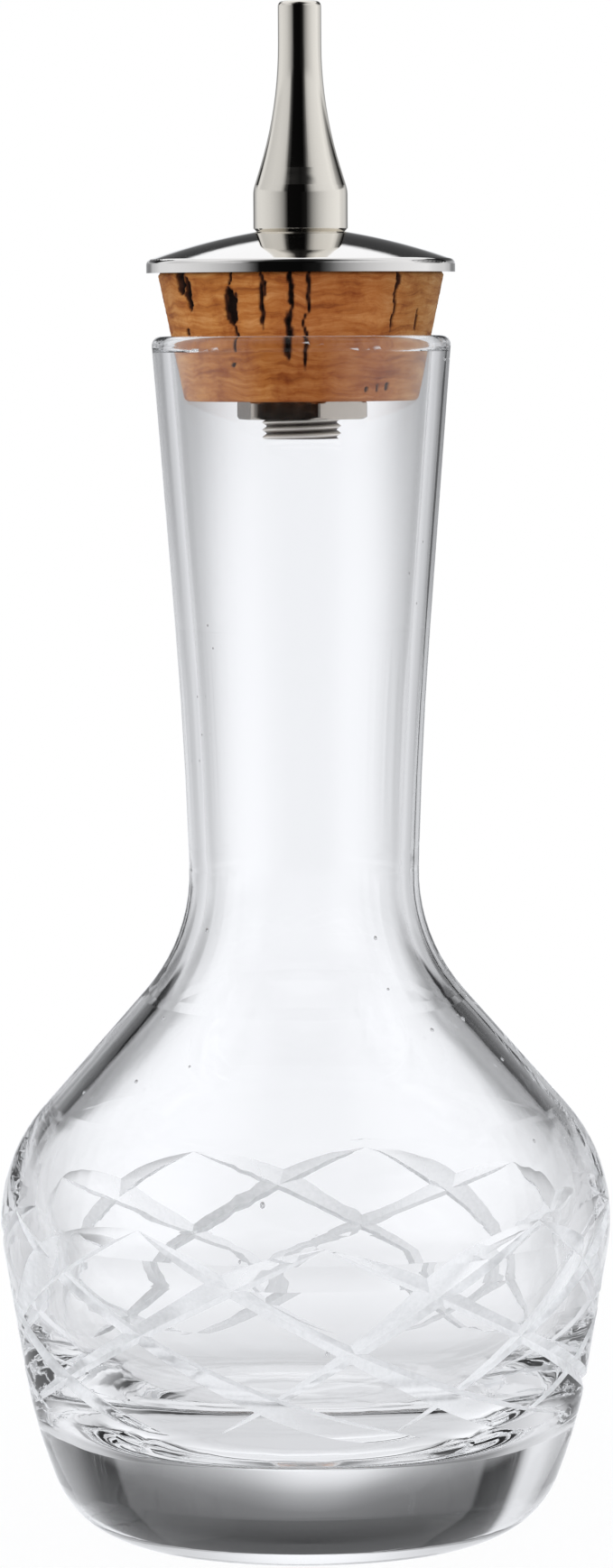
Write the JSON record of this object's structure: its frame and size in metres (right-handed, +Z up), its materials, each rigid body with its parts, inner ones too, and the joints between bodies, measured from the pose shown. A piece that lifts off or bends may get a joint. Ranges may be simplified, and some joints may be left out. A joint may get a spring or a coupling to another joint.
{
  "type": "bitters bottle",
  "caption": "Cut-glass bottle with a long flared neck and a tapered cork stopper that carries a domed disc and a dasher spout.",
  "frame": {"origin": "centre of the bottle's flat foot, on the surface that it stands on", "axes": "+Z up along the bottle's axis, -Y towards the picture's viewer, +X to the viewer's right"},
  "size_m": [0.0626, 0.0626, 0.1573],
  "materials": {
    "clear_glass": "clear, polished, with a cut lattice",
    "natural_cork": "natural cork, matt",
    "disc_metal": "polished nickel",
    "spout_metal": "polished nickel, warm",
    "thread_metal": "rolled thread, bright",
    "nut_metal": "plated, satin"
  },
  "bodies": {
    "bottle": {"bottle": "clear_glass"},
    "stopper": {"cork": "natural_cork", "stem": "thread_metal", "hex_nut": "nut_metal"},
    "disc": {"cap_disc": "disc_metal"},
    "nozzle": {"nozzle": "spout_metal"}
  },
  "joints": [
    {"name": "stopper_lift", "type": "slide", "parent": "bottle", "child": "stopper", "axis": [0, 0, 1], "range_m": [0, 0.03]},
    {"name": "disc_rise", "type": "slide", "parent": "stopper", "child": "disc", "axis": [0, 0, 1], "range_m": [0, 0.00412]},
    {"name": "nozzle_unscrew", "type": "hinge", "parent": "disc", "child": "nozzle", "pos_m": [0, 0, 0.13398], "axis": [0, 0, 1], "range_deg": [0, 1980]}
  ],
  "couplings": [
    {"joint": "nozzle_unscrew", "follows": "disc_rise", "rad_per_m": 8377.6}
  ]
}
